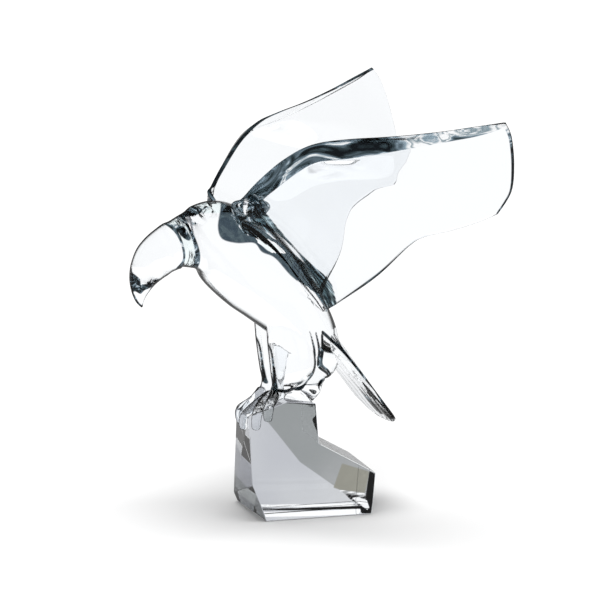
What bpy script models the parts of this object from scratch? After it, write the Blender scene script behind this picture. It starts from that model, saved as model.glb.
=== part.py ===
"""Crystal eagle with raised wings, bonded to a cut crystal rock.

The bird faces -X, its wings and legs mirror across Y = 0, and the origin is
on the ground under the middle of the rock. Forms are in millimetres here and
become metres when a mesh is made.
"""
import math

import bmesh
import bpy
import numpy as np
from mathutils import Matrix, Vector

MM = 0.001

# Rock: a block turned a little under the bird and cut by flat planes
ROCK_LENGTH = 97.3
ROCK_WIDTH = 67.8
ROCK_HEIGHT = 88.8
ROCK_TURN = math.radians(-5.6)
ROCK_FRONT = -55.8
ROCK_NEAR = -40.3
ROCK_LIP_DROP = 10.0
ROCK_CREST_SET_BACK = 29.4
ROCK_REAR_DROP = 2.5
ROCK_SIDE_DROP = 7.0
ROCK_FAR_SET_BACK = 10.5
ROCK_FRONT_LEAN = 3.4
ROCK_UNDERCUT = 27.5
ROCK_UNDERCUT_SET_IN = 10.9
ROCK_UNDERCUT_FAR = 7.0
ROCK_WALL = -4.6
ROCK_WALL_LEAN = 2.6
ROCK_STEP_HIGH = 56.1
ROCK_STEP_LOW = 31.1
ROCK_REAR_LEAN = 2.7
ROCK_FOOT_BEVEL = 8.0
ROCK_FOOT_SET_IN = 1.5
ROCK_REAR = ROCK_FRONT + ROCK_LENGTH
ROCK_FAR = ROCK_NEAR + ROCK_WIDTH
ROCK_LIP = ROCK_HEIGHT - ROCK_LIP_DROP

# Bond line between bird and rock, and the shortest edge kept where forms meet
BOND_GAP = 0.3
SLIVER = 0.08

# The bird's own frame starts on the crest between its ankles
PERCH_SET_BACK = 25.8

BODY_SIDES = 28
BODY_RINGS = 46
COLLAR_STATION = 9.6
COLLAR_SPAN = 1.05
COLLAR_DEPTH = 0.07

# Wing section: a sheet that swells towards its slanted leading edge and root
WING_SHEET = 4.4
WING_SWELL = 58.0
WING_EDGE_SLANT = 2.0
WING_EDGE_NOSE = 1.0
WING_CORNER = 2.4
WING_RIM = 0.8

TOE_RADIUS = 4.0
CLAW_RADIUS = 3.4
CLAW_START = 0.8
TAIL_FLUTES = 5
TAIL_FLUTE_DEPTH = 0.16

# Body stations from beak to rump: top x, z, bottom x, z and half width
BODY = (
    (-99.4, 71.2, -98.2, 71.6, 0.7),
    (-103.2, 75.2, -97.4, 75.8, 2.4),
    (-106.2, 81.7, -94.4, 81.2, 4.6),
    (-107.9, 89.8, -89.0, 87.4, 7.4),
    (-107.6, 97.2, -82.8, 92.4, 12.0),
    (-105.6, 105.2, -79.5, 94.4, 15.0),
    (-101.0, 114.8, -76.5, 96.3, 17.0),
    (-93.2, 123.0, -73.8, 97.2, 18.2),
    (-83.6, 129.8, -71.5, 97.8, 18.6),
    (-75.0, 135.0, -68.0, 97.8, 18.6),
    (-67.0, 139.4, -61.0, 96.4, 19.2),
    (-57.6, 143.4, -54.5, 94.4, 21.0),
    (-46.4, 145.8, -50.8, 87.0, 24.4),
    (-33.6, 144.6, -42.4, 77.8, 27.8),
    (-19.0, 138.2, -30.0, 66.7, 30.4),
    (-5.0, 128.2, -17.6, 57.7, 31.0),
    (8.5, 114.6, -4.5, 47.7, 30.0),
    (21.0, 99.2, 8.5, 36.7, 27.6),
    (32.0, 84.6, 20.5, 25.2, 24.2),
    (42.0, 68.8, 31.0, 15.2, 20.4),
    (49.0, 54.8, 39.0, 8.2, 16.6),
    (53.4, 42.2, 45.0, 6.2, 12.4),
    (56.0, 29.2, 50.0, 9.2, 7.0),
)

# Edges of the left wing's back, for the side where y is positive: x, y, z, and for the first two the thickness
WING_LEAD = ((-30.0, 13.0, 131.0, 13.0), (-38.0, 23.0, 146.5, 14.0), (-33.0, 29.5, 151.5, 15.0),
             (-22.0, 35.0, 165.0, 17.0), (-6.0, 43.5, 181.0, 19.5), (12.0, 51.5, 192.0, 21.0),
             (32.0, 62.0, 196.0, 18.5), (60.0, 79.0, 199.0, 13.5), (90.0, 98.0, 203.7, 9.8),
             (116.0, 114.0, 209.2, 8.2), (134.0, 125.0, 213.0, 4.4))
WING_ROOT = ((-30.0, 13.0, 131.0, 13.0), (-18.0, 13.0, 126.5, 14.0), (-5.0, 13.0, 116.0, 14.0),
             (9.0, 12.5, 100.0, 13.0), (25.0, 13.5, 75.0, 12.0), (37.0, 9.5, 58.5, 8.0))
WING_TRAIL = ((37.0, 9.5, 58.5), (49.0, 23.0, 69.0), (70.0, 42.0, 90.0), (87.0, 59.5, 113.7),
              (96.0, 66.5, 121.0), (114.0, 78.0, 127.0), (130.0, 89.0, 134.0), (141.0, 97.0, 140.7))
WING_TIP = ((134.0, 125.0, 213.0), (140.5, 121.5, 201.2), (145.5, 115.0, 179.2), (147.0, 107.0, 158.2),
            (141.0, 97.0, 140.7))

# Leg levels from hip to foot: z, middle x, half depth in x, half width in y, distance from the middle
LEG = ((65.0, 11.0, 8.0, 6.0, 12.5), (57.0, 9.5, 14.5, 9.5, 12.2), (42.0, 12.0, 17.2, 11.0, 11.9),
       (26.0, 14.6, 18.0, 11.2, 11.6), (15.0, 15.0, 17.0, 10.2, 11.0), (7.7, 12.8, 13.6, 8.8, 10.2),
       (3.2, 8.0, 9.6, 7.6, 9.6), (0.2, 4.0, 7.4, 6.8, 9.5), (-3.3, 1.5, 7.4, 6.8, 9.5),
       (-13.0, 0.0, 8.0, 8.0, 9.5))

# Tail stations along its middle: x, z, half width, half thickness
TAIL = ((32.0, 54.2, 13.0, 8.0), (45.0, 36.7, 19.0, 6.6), (57.5, 19.2, 25.0, 5.2), (69.5, 2.7, 29.5, 4.0),
        (80.0, -11.5, 32.0, 3.4), (86.5, -19.4, 30.5, 3.1), (90.5, -24.2, 26.0, 2.8), (92.6, -26.7, 15.0, 2.2))

# Foot of glass that carries the rump: z, middle x, half depth, half width, middle y
RUMP_FOOT = ((29.0, 28.0, 13.0, 10.0, 0.0), (15.0, 29.0, 16.0, 12.0, 0.0), (7.0, 28.0, 16.5, 13.0, 0.0),
             (3.0, 26.5, 15.5, 15.0, 0.0), (-0.5, 24.0, 14.0, 21.0, -2.0), (-4.0, 18.0, 11.0, 28.0, -4.0),
             (-12.1, 13.0, 10.0, 28.0, -4.0))

# Toes of each foot, from ankle over the rock's edge to the claw's tip
NEAR_TOES = (
    ((-3.0, -10.0, -0.5), (-14.0, -17.0, -4.0), (-27.0, -25.5, -9.5), (-29.8, -26.5, -15.0), (-29.0, -26.5, -20.2)),
    ((-2.0, -11.0, 0.0), (-12.0, -21.0, -2.5), (-21.0, -33.0, -5.8), (-24.3, -37.4, -12.0), (-24.4, -37.4, -18.8)),
    ((0.0, -12.0, 0.5), (-5.0, -22.0, -0.5), (-11.5, -32.0, -2.2), (-14.8, -37.4, -6.5), (-15.2, -37.4, -13.4)),
)
FAR_TOES = (
    ((-2.0, 8.0, -1.0), (-9.0, 4.0, -6.0), (-18.5, 1.0, -10.5), (-22.0, 0.5, -14.5), (-20.8, 0.5, -22.5)),
    ((-1.5, 9.5, -2.0), (-7.0, 10.0, -8.0), (-14.8, 9.5, -12.3), (-18.7, 9.5, -16.0), (-17.5, 9.5, -24.5)),
    ((-0.5, 11.0, -3.0), (-4.0, 14.5, -9.5), (-11.0, 17.5, -13.6), (-15.0, 18.0, -17.0), (-13.6, 18.0, -26.5)),
)


def even(count):
    """Evenly spread shares from 0 to 1."""
    return np.linspace(0.0, 1.0, count)


def close_at_ends(count):
    """Shares from 0 to 1 that crowd together at both ends, for rounded rims."""
    return 0.5 - 0.5 * np.cos(math.pi * even(count))


def smooth_rows(rows, shares):
    """Rows of numbers read at shares (0 to 1) along a smooth curve through them."""
    rows = np.array(rows, float)
    places = np.asarray(shares) * (len(rows) - 1.0)
    first = np.clip(np.floor(places).astype(int), 0, len(rows) - 2)
    share = (places - first)[:, None]
    before = rows[np.maximum(first - 1, 0)]
    start = rows[first]
    end = rows[first + 1]
    after = rows[np.minimum(first + 2, len(rows) - 1)]
    leave = 0.5 * (end - before)
    arrive = 0.5 * (after - start)
    return ((2 * share ** 3 - 3 * share ** 2 + 1) * start + (share ** 3 - 2 * share ** 2 + share) * leave
            + (3 * share ** 2 - 2 * share ** 3) * end + (share ** 3 - share ** 2) * arrive)


def skin(name, rings, material=None):
    """A closed object whose skin runs over rings of points in the bird's frame."""
    mesh = bpy.data.meshes.new(name)
    shell = bmesh.new()
    perch = Vector((ROCK_FRONT + PERCH_SET_BACK, 0.0, ROCK_HEIGHT))
    loops = [[shell.verts.new((Vector(point) + perch) * MM) for point in ring] for ring in rings]
    sides = len(rings[0])
    for low, high in zip(loops, loops[1:]):
        for k in range(sides):
            n = (k + 1) % sides
            shell.faces.new((low[k], low[n], high[n], high[k]))
    shell.faces.new(loops[0][::-1])
    shell.faces.new(loops[-1])
    bmesh.ops.recalc_face_normals(shell, faces=shell.faces)
    bmesh.ops.triangulate(shell, faces=[face for face in shell.faces if len(face.verts) > 4])
    shell.to_mesh(mesh)
    shell.free()
    return add_object(name, mesh, material)


def add_object(name, mesh, material=None):
    item = bpy.data.objects.new(name, mesh)
    bpy.context.scene.collection.objects.link(item)
    if material:
        mesh.materials.append(material)
    return item


def guide(item):
    """A solid that only shapes another one."""
    item.hide_render = True
    item.display_type = "WIRE"
    return item


def body_rings(sides, count):
    shares = even(count)
    turn = np.linspace(0.0, 2.0 * math.pi, sides, endpoint=False)
    rings = []
    for share, (top_x, top_z, low_x, low_z, half) in zip(shares, smooth_rows(BODY, shares)):
        place = share * (len(BODY) - 1)
        groove = 1.0 - COLLAR_DEPTH * math.exp(-((place - COLLAR_STATION) / COLLAR_SPAN) ** 6)
        middle = np.array(((top_x + low_x) / 2, 0.0, (top_z + low_z) / 2))
        rise = np.array(((top_x - low_x) / 2, 0.0, (top_z - low_z) / 2)) * groove
        rings.append([middle + rise * math.cos(a) + np.array((0.0, half * groove * math.sin(a), 0.0))
                      for a in turn])
    return rings


def softer_of(one, other, blend):
    """The smaller of two thicknesses, with a rounded change from one to the other."""
    share = np.clip(0.5 + 0.5 * (other - one) / blend, 0.0, 1.0)
    return other * (1.0 - share) + one * share - blend * share * (1.0 - share)


def fade(distance, span):
    """1 at an edge, falling smoothly to 0 at a distance of span."""
    share = np.clip(distance / span, 0.0, 1.0)
    return (1.0 - share) ** 2 * (1.0 + 2.0 * share)


def wing_rings(side, across, along):
    """Closed sections of one wing from its root to its tip; side is 1 or -1 in y."""
    along_shares = close_at_ends(along)
    across_shares = close_at_ends(across)
    lead, lead_edge = np.split(smooth_rows(WING_LEAD, along_shares), (3,), axis=1)
    root, root_edge = np.split(smooth_rows(WING_ROOT, across_shares), (3,), axis=1)
    trail = smooth_rows(WING_TRAIL, along_shares)
    tip = smooth_rows(WING_TIP, across_shares)
    s = along_shares[:, None, None]
    t = across_shares[None, :, None]
    back = ((1 - t) * lead[:, None] + t * trail[:, None] + (1 - s) * root[None] + s * tip[None]
            - (1 - s) * (1 - t) * lead[0] - (1 - s) * t * trail[0] - s * (1 - t) * lead[-1] - s * t * trail[-1])
    normal = np.cross(np.gradient(back, along_shares, axis=0), np.gradient(back, across_shares, axis=1))
    normal /= np.linalg.norm(normal, axis=2, keepdims=True)
    chord = np.linalg.norm(np.diff(back, axis=1), axis=2)
    from_lead = np.concatenate([np.zeros((along, 1)), np.cumsum(chord, axis=1)], axis=1)
    to_trail = from_lead[:, -1:] - from_lead
    span = np.linalg.norm(np.diff(back, axis=0), axis=2)
    from_root = np.concatenate([np.zeros((1, across)), np.cumsum(span, axis=0)], axis=0)
    to_tip = from_root[-1:] - from_root
    at_lead = np.maximum(lead_edge - WING_SHEET, 0.0) * fade(from_lead, WING_SWELL)
    at_root = np.maximum(root_edge.T - WING_SHEET, 0.0) * fade(from_root, WING_SWELL)
    thick = WING_SHEET + (at_lead ** 3 + at_root ** 3) ** (1 / 3)
    for distance in (from_lead, from_root, to_trail, to_tip):
        face = np.sqrt((WING_EDGE_SLANT * distance) ** 2 + 8.0 * WING_EDGE_NOSE * distance)
        thick = softer_of(face, thick, WING_CORNER)
    thick = np.maximum(thick, WING_RIM)
    flush = np.minimum(0.5 * thick, 0.5 * WING_SHEET)[:, :, None]
    inner = back - normal * flush
    outer = inner + normal * thick[:, :, None]
    flip = np.array((1.0, side, 1.0))
    return [[point * flip for point in list(outer[k]) + list(inner[k, ::-1])] for k in range(along)]


def level_rings(levels, side, sides, count):
    """Flat oval rings stacked down a leg or a foot."""
    turn = np.linspace(0.0, 2.0 * math.pi, sides, endpoint=False)
    return [[(x + deep * math.cos(a), side * out + wide * math.sin(a), z) for a in turn]
            for z, x, deep, wide, out in smooth_rows(levels, even(count))]


def tail_rings(sides, count):
    rows = smooth_rows(TAIL, even(count))
    turn = np.linspace(0.0, 2.0 * math.pi, sides, endpoint=False)
    run = np.gradient(rows[:, :2], axis=0)
    run /= np.linalg.norm(run, axis=1, keepdims=True)
    rings = []
    for (x, z, half, thick), (run_x, run_z) in zip(rows, run):
        ring = []
        for a in turn:
            flute = 1.0 - TAIL_FLUTE_DEPTH * (0.5 - 0.5 * math.cos(math.pi * TAIL_FLUTES * math.cos(a)))
            up = thick * flute * math.copysign(abs(math.sin(a)) ** 0.6, math.sin(a))
            ring.append((x - run_z * up, half * math.cos(a), z + run_x * up))
        rings.append(ring)
    return rings


def tube_rings(path, radius, end_radius, sides, count):
    """Round sections along a toe, from the ankle to the claw's blunt tip."""
    shares = 1.0 - (1.0 - even(count)) ** 1.5
    points = smooth_rows(path, shares)
    run = np.gradient(points, axis=0)
    run /= np.linalg.norm(run, axis=1, keepdims=True)
    across = np.cross(run, (0.0, 0.0, 1.0))
    across = np.cross(run, np.cross(across.mean(axis=0), run))
    across /= np.linalg.norm(across, axis=1, keepdims=True)
    other = np.cross(run, across)
    turn = np.linspace(0.0, 2.0 * math.pi, sides, endpoint=False)
    rings = []
    for k, share in enumerate(shares):
        blunt = math.sqrt(1.0 - 0.85 * max(0.0, (share - CLAW_START) / (1.0 - CLAW_START)) ** 3)
        size = (radius + (end_radius - radius) * share ** 2) * blunt
        rings.append([points[k] + size * (across[k] * math.cos(a) + other[k] * math.sin(a)) for a in turn])
    return rings


def plane(*points):
    """A cutting plane through three points, facing away from the rock's middle."""
    a, b, c = (Vector(point) for point in points)
    normal = (b - a).cross(c - a).normalized()
    middle = Vector((ROCK_FRONT / 2, 0.0, ROCK_HEIGHT / 2))
    if (middle - a).dot(normal) > 0:
        normal = -normal
    return a, normal


def rock_planes():
    near_top = (ROCK_FRONT, ROCK_NEAR, ROCK_LIP)
    near_low = (ROCK_FRONT + ROCK_FRONT_LEAN, ROCK_NEAR, ROCK_UNDERCUT)
    near_foot = (ROCK_FRONT + ROCK_FRONT_LEAN + ROCK_UNDERCUT_SET_IN, ROCK_NEAR, 0.0)
    far_top = (ROCK_FRONT + ROCK_FAR_SET_BACK, ROCK_FAR, ROCK_LIP - ROCK_SIDE_DROP)
    far_low = (ROCK_FRONT + ROCK_FAR_SET_BACK - ROCK_REAR_DROP, ROCK_FAR, ROCK_UNDERCUT_FAR)
    crest = (ROCK_FRONT + ROCK_CREST_SET_BACK, ROCK_NEAR, ROCK_HEIGHT)
    brow = ROCK_HEIGHT - ROCK_REAR_DROP
    return (
        plane(near_top, far_top, far_low),
        plane(near_top, near_low, far_low),
        plane(near_low, near_foot, far_low),
        plane(near_top, crest, far_top),
        plane(crest, (ROCK_WALL, ROCK_NEAR, brow), (ROCK_WALL, ROCK_FAR, brow - ROCK_SIDE_DROP)),
        plane((ROCK_REAR - ROCK_REAR_LEAN, ROCK_NEAR, 0.0), (ROCK_REAR - ROCK_REAR_LEAN, ROCK_FAR, 0.0),
              (ROCK_REAR, ROCK_NEAR, ROCK_STEP_LOW)),
        plane((ROCK_WALL, ROCK_NEAR, ROCK_FOOT_BEVEL), (ROCK_REAR, ROCK_NEAR, ROCK_FOOT_BEVEL),
              (ROCK_WALL, ROCK_NEAR + ROCK_FOOT_SET_IN, 0.0)),
    )


def step_planes(grow):
    """The wall and the sloping tread of the low step, facing into the solid."""
    wall = Vector((-1.0, 0.0, -ROCK_WALL_LEAN / (ROCK_HEIGHT - ROCK_STEP_HIGH))).normalized()
    corner = Vector((ROCK_WALL + ROCK_WALL_LEAN, 0.0, ROCK_STEP_HIGH))
    run = ROCK_REAR - corner.x
    tread = Vector((ROCK_STEP_LOW - ROCK_STEP_HIGH, 0.0, -run)).normalized()
    return (corner - wall * grow, wall), (corner - tread * grow, tread)


def block(name, low, high, planes, grow=0.0):
    """A box between two corners, cut by planes and grown outwards by `grow`."""
    mesh = bpy.data.meshes.new(name)
    solid = bmesh.new()
    bmesh.ops.create_cube(solid, size=1.0)
    for vert in solid.verts:
        vert.co = Vector([(low[k] - grow if vert.co[k] < 0 else high[k] + grow) for k in range(3)])
    for point, normal in planes:
        cut = bmesh.ops.bisect_plane(solid, geom=solid.verts[:] + solid.edges[:] + solid.faces[:], dist=0.00001,
                                     plane_co=point + normal * grow, plane_no=normal, clear_outer=True)
        rim = [part for part in cut["geom_cut"] if isinstance(part, bmesh.types.BMEdge)]
        if rim:
            bmesh.ops.edgenet_fill(solid, edges=rim)
    bmesh.ops.recalc_face_normals(solid, faces=solid.faces)
    solid.transform(Matrix.Rotation(ROCK_TURN, 4, "Z") @ Matrix.Scale(MM, 4))
    solid.to_mesh(mesh)
    solid.free()
    return add_object(name, mesh)


def rock(name, grow, material=None):
    """The cut block, with its step; `grow` makes the seat that the bird is cut by."""
    item = block(name, (2 * ROCK_FRONT, ROCK_NEAR, 0.0), (2 * ROCK_REAR, ROCK_FAR, 2 * ROCK_HEIGHT),
                 rock_planes(), grow)
    notch = guide(block(name + "_notch", (ROCK_FRONT, 2 * ROCK_NEAR, 0.0),
                        (3 * ROCK_REAR, 3 * ROCK_FAR, 3 * ROCK_HEIGHT), step_planes(grow)))
    cut = item.modifiers.new("step", "BOOLEAN")
    cut.operation = "DIFFERENCE"
    cut.solver = "EXACT"
    cut.object = notch
    if material:
        item.data.materials.append(material)
    return item


def crystal(name, colour):
    material = bpy.data.materials.new(name)
    material.use_nodes = True
    shader = material.node_tree.nodes["Principled BSDF"]
    shader.inputs["Base Color"].default_value = (*colour, 1.0)
    shader.inputs["Roughness"].default_value = 0.02
    shader.inputs["Metallic"].default_value = 0.0
    shader.inputs["IOR"].default_value = 1.55
    shader.inputs["Transmission Weight"].default_value = 1.0
    return material


def build():
    for old in list(bpy.data.objects):
        bpy.data.objects.remove(old)
    clear = crystal("fire_polished_crystal", (0.97, 0.98, 0.99))
    rock("rock_base", 0.0, crystal("cut_crystal", (0.93, 0.95, 0.97)))

    eagle = skin("eagle", body_rings(BODY_SIDES, BODY_RINGS), clear)
    limbs = [skin("tail_form", tail_rings(24, 12)),
             skin("rump_foot_form", level_rings(RUMP_FOOT, 1, 16, 9))]
    for side, word in ((1, "left"), (-1, "right")):
        limbs.append(skin(word + "_wing_form", wing_rings(side, 18, 28)))
        limbs.append(skin(word + "_leg_form", level_rings(LEG, side, 18, 14)))
    for word, toes in (("near", NEAR_TOES), ("far", FAR_TOES)):
        for number, path in enumerate(toes, 1):
            limbs.append(skin(f"{word}_toe_{number}_form", tube_rings(path, TOE_RADIUS, CLAW_RADIUS, 8, 9)))
    group = bpy.data.collections.new("eagle_forms")
    for limb in limbs:
        group.objects.link(guide(limb))
    join = eagle.modifiers.new("one casting", "BOOLEAN")
    join.operation = "UNION"
    join.solver = "EXACT"
    join.operand_type = "COLLECTION"
    join.collection = group
    seat = eagle.modifiers.new("seat on the rock", "BOOLEAN")
    seat.operation = "DIFFERENCE"
    seat.solver = "EXACT"
    seat.object = guide(rock("rock_seat_form", BOND_GAP))
    weld = eagle.modifiers.new("weld slivers", "WELD")
    weld.merge_threshold = SLIVER * MM
    fine = eagle.modifiers.new("triangles", "TRIANGULATE")
    fine.quad_method = "BEAUTY"
    fine.ngon_method = "BEAUTY"
    eagle.data.shade_smooth()


build()
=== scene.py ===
"""Looks of a clear crystal eagle on its cut crystal rock, on a white lit table.

The bird's forms are worked out in millimetres in its own frame, which starts
on the rock's crest between the ankles, and become metres when a mesh is made.
"""
import math

import bmesh
import bpy
import numpy as np
from mathutils import Matrix, Vector
from mathutils.kdtree import KDTree


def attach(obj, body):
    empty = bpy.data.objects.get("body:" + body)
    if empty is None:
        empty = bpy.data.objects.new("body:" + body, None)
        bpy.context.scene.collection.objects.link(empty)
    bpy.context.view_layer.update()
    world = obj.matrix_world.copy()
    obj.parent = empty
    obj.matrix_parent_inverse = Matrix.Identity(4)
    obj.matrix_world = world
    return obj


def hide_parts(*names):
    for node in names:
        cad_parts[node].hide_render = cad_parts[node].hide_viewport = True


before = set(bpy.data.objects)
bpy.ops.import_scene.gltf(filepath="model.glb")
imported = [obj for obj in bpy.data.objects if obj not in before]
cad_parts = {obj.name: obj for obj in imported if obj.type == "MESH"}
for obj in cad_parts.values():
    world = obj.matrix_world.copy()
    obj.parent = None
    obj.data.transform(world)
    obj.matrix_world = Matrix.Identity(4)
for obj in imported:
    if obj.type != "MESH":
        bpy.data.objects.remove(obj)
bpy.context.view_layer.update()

MM = 0.001
PERCH = Vector((-30.0, 0.0, 88.8))
BOND_GAP = 0.3

BODY_SIDES = 124
BODY_RINGS = 210
COLLAR_STATION = 9.6
COLLAR_SPAN = 1.05
COLLAR_DEPTH = 0.07

# Wing section: a sheet that swells towards its slanted leading edge and root
WING_ACROSS = 72
WING_ALONG = 110
WING_SHEET = 4.4
WING_SWELL = 58.0
WING_EDGE_SLANT = 2.0
WING_EDGE_NOSE = 1.0
WING_CORNER = 2.4
WING_RIM = 0.06

TOE_SIDES = 22
TOE_STATIONS = 30
TOE_RADIUS = 4.0
TOE_CROWDING = 1.5
CLAW_RADIUS = 3.4
CLAW_START = 0.8
CLAW_BLUNTNESS = 0.85
TAIL_SIDES = 160
TAIL_STATIONS = 60
TAIL_SQUARENESS = 0.6
TAIL_FLUTES = 5
TAIL_FLUTE_DEPTH = 0.16
LEG_SIDES = 72
LEG_LEVELS = 56
FOOT_SIDES = 64
FOOT_LEVELS = 40
SHARP_ANGLE = math.radians(40.0)
WELD = 0.00001

# The rock's own turn, its polished edges, and the grid that carries its painted reflections
ROCK_TURN = math.radians(-5.6)
ROCK_ARRIS = 0.35
ROCK_GRID = 1.6
ROCK_GRID_WIDER_IN_Y = 4.0
ROCK_FLAT_ANGLE = math.radians(1.0)

# Body stations from beak to rump: top x, z, bottom x, z and half width
BODY = (
    (-99.4, 71.2, -98.2, 71.6, 0.7),
    (-103.2, 75.2, -97.4, 75.8, 2.4),
    (-106.2, 81.7, -94.4, 81.2, 4.6),
    (-107.9, 89.8, -89.0, 87.4, 7.4),
    (-107.6, 97.2, -82.8, 92.4, 12.0),
    (-105.6, 105.2, -79.5, 94.4, 15.0),
    (-101.0, 114.8, -76.5, 96.3, 17.0),
    (-93.2, 123.0, -73.8, 97.2, 18.2),
    (-83.6, 129.8, -71.5, 97.8, 18.6),
    (-75.0, 135.0, -68.0, 97.8, 18.6),
    (-67.0, 139.4, -61.0, 96.4, 19.2),
    (-57.6, 143.4, -54.5, 94.4, 21.0),
    (-46.4, 145.8, -50.8, 87.0, 24.4),
    (-33.6, 144.6, -42.4, 77.8, 27.8),
    (-19.0, 138.2, -30.0, 66.7, 30.4),
    (-5.0, 128.2, -17.6, 57.7, 31.0),
    (8.5, 114.6, -4.5, 47.7, 30.0),
    (21.0, 99.2, 8.5, 36.7, 27.6),
    (32.0, 84.6, 20.5, 25.2, 24.2),
    (42.0, 68.8, 31.0, 15.2, 20.4),
    (49.0, 54.8, 39.0, 8.2, 16.6),
    (53.4, 42.2, 45.0, 6.2, 12.4),
    (56.0, 29.2, 50.0, 9.2, 7.0),
)

# Edges of the left wing's back, where y is positive: x, y, z, and for the first two the thickness
WING_LEAD = ((-30.0, 13.0, 131.0, 13.0), (-38.0, 23.0, 146.5, 14.0), (-33.0, 29.5, 151.5, 15.0),
             (-22.0, 35.0, 165.0, 17.0), (-6.0, 43.5, 181.0, 19.5), (12.0, 51.5, 192.0, 21.0),
             (32.0, 62.0, 196.0, 18.5), (60.0, 79.0, 199.0, 13.5), (90.0, 98.0, 203.7, 9.8),
             (116.0, 114.0, 209.2, 8.2), (134.0, 125.0, 213.0, 4.4))
WING_ROOT = ((-30.0, 13.0, 131.0, 13.0), (-18.0, 13.0, 126.5, 14.0), (-5.0, 13.0, 116.0, 14.0),
             (9.0, 12.5, 100.0, 13.0), (25.0, 13.5, 75.0, 12.0), (37.0, 9.5, 58.5, 8.0))
WING_TRAIL = ((37.0, 9.5, 58.5), (49.0, 23.0, 69.0), (70.0, 42.0, 90.0), (87.0, 59.5, 113.7),
              (96.0, 66.5, 121.0), (114.0, 78.0, 127.0), (130.0, 89.0, 134.0), (141.0, 97.0, 140.7))
WING_TIP = ((134.0, 125.0, 213.0), (140.5, 121.5, 201.2), (145.5, 115.0, 179.2), (147.0, 107.0, 158.2),
            (141.0, 97.0, 140.7))

# Leg levels from hip to foot: z, middle x, half depth in x, half width in y, distance from the middle
LEG = ((65.0, 11.0, 8.0, 6.0, 12.5), (57.0, 9.5, 14.5, 9.5, 12.2), (42.0, 12.0, 17.2, 11.0, 11.9),
       (26.0, 14.6, 18.0, 11.2, 11.6), (15.0, 15.0, 17.0, 10.2, 11.0), (7.7, 12.8, 13.6, 8.8, 10.2),
       (3.2, 8.0, 9.6, 7.6, 9.6), (0.2, 4.0, 7.4, 6.8, 9.5), (-3.3, 1.5, 7.4, 6.8, 9.5),
       (-13.0, 0.0, 8.0, 8.0, 9.5))

# Tail stations along its middle: x, z, half width, half thickness
TAIL = ((32.0, 54.2, 13.0, 8.0), (45.0, 36.7, 19.0, 6.6), (57.5, 19.2, 25.0, 5.2), (69.5, 2.7, 29.5, 4.0),
        (80.0, -11.5, 32.0, 3.4), (86.5, -19.4, 30.5, 3.1), (90.5, -24.2, 26.0, 2.8),
        (92.6, -26.7, 15.0, 2.2))

# Foot of glass that carries the rump: z, middle x, half depth, half width, middle y
RUMP_FOOT = ((29.0, 28.0, 13.0, 10.0, 0.0), (15.0, 29.0, 16.0, 12.0, 0.0), (7.0, 28.0, 16.5, 13.0, 0.0),
             (3.0, 26.5, 15.5, 15.0, 0.0), (-0.5, 24.0, 14.0, 21.0, -2.0), (-4.0, 18.0, 11.0, 28.0, -4.0),
             (-12.1, 13.0, 10.0, 28.0, -4.0))

# Toes of each foot, from ankle over the rock's edge to the claw's tip
NEAR_TOES = (
    ((-3.0, -10.0, -0.5), (-14.0, -17.0, -4.0), (-27.0, -25.5, -9.5), (-29.8, -26.5, -15.0),
     (-29.0, -26.5, -20.2)),
    ((-2.0, -11.0, 0.0), (-12.0, -21.0, -2.5), (-21.0, -33.0, -5.8), (-24.3, -37.4, -12.0),
     (-24.4, -37.4, -18.8)),
    ((0.0, -12.0, 0.5), (-5.0, -22.0, -0.5), (-11.5, -32.0, -2.2), (-14.8, -37.4, -6.5),
     (-15.2, -37.4, -13.4)),
)
FAR_TOES = (
    ((-2.0, 8.0, -1.0), (-9.0, 4.0, -6.0), (-18.5, 1.0, -10.5), (-22.0, 0.5, -14.5), (-20.8, 0.5, -22.5)),
    ((-1.5, 9.5, -2.0), (-7.0, 10.0, -8.0), (-14.8, 9.5, -12.3), (-18.7, 9.5, -16.0), (-17.5, 9.5, -24.5)),
    ((-0.5, 11.0, -3.0), (-4.0, 14.5, -9.5), (-11.0, 17.5, -13.6), (-15.0, 18.0, -17.0),
     (-13.6, 18.0, -26.5)),
)

# Painted reflections of the studio on the bird, dark, grey and pale, and painted highlights, in its side
# elevation: x, z and for lines a half width. The beak's lines and the far leg's line go through to the far
# side, and the others lie on the near side only
COLLAR_FRONT_LINE = ((-88.0, 134.2, 1.0), (-81.5, 134.6, 2.4), (-77.0, 128.5, 1.3), (-73.8, 119.0, 1.0),
                     (-72.0, 108.0, 1.2), (-74.5, 100.6, 2.6))
COLLAR_BACK_LINE = ((-66.5, 143.6, 2.0), (-68.3, 134.2, 1.0), (-65.0, 123.6, 1.2), (-61.8, 110.8, 1.9),
                    (-60.6, 98.9, 2.2))
COLLAR_BLOTCH = ((-76.4, 131.6), (-70.3, 130.8), (-66.9, 121.8), (-72.6, 123.8))
COLLAR_BAND = ((-80.0, 136.5), (-76.0, 126.0), (-73.0, 115.0), (-72.0, 106.0), (-75.0, 99.0), (-60.5, 97.0),
               (-62.2, 110.8), (-65.3, 123.6), (-68.7, 134.2), (-70.0, 141.0))
CERE = ((-112.0, 97.3), (-108.1, 98.4), (-103.5, 94.3), (-101.6, 90.0), (-93.8, 90.8), (-93.6, 87.0),
        (-98.9, 84.9), (-101.6, 82.3), (-105.5, 84.2), (-108.6, 82.1), (-112.0, 88.3))
BEAK_LINES = (((-93.6, 83.5, 0.5), (-96.6, 76.8, 0.9), (-98.2, 71.9, 1.0)),
              ((-107.2, 84.0, 0.6), (-103.4, 76.0, 0.9), (-99.2, 71.5, 1.0)))
FLANK_PATCH = ((-37.5, 146.0), (-46.7, 134.2), (-46.3, 123.3), (-35.7, 119.2), (-21.7, 118.2),
               (-16.2, 111.4), (-5.7, 106.0), (6.4, 92.3), (19.8, 81.6), (28.4, 76.0), (19.2, 91.8),
               (11.8, 102.8), (3.6, 112.4), (-5.3, 120.1), (-13.1, 126.1), (-21.6, 131.2), (-28.4, 136.2))
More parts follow.
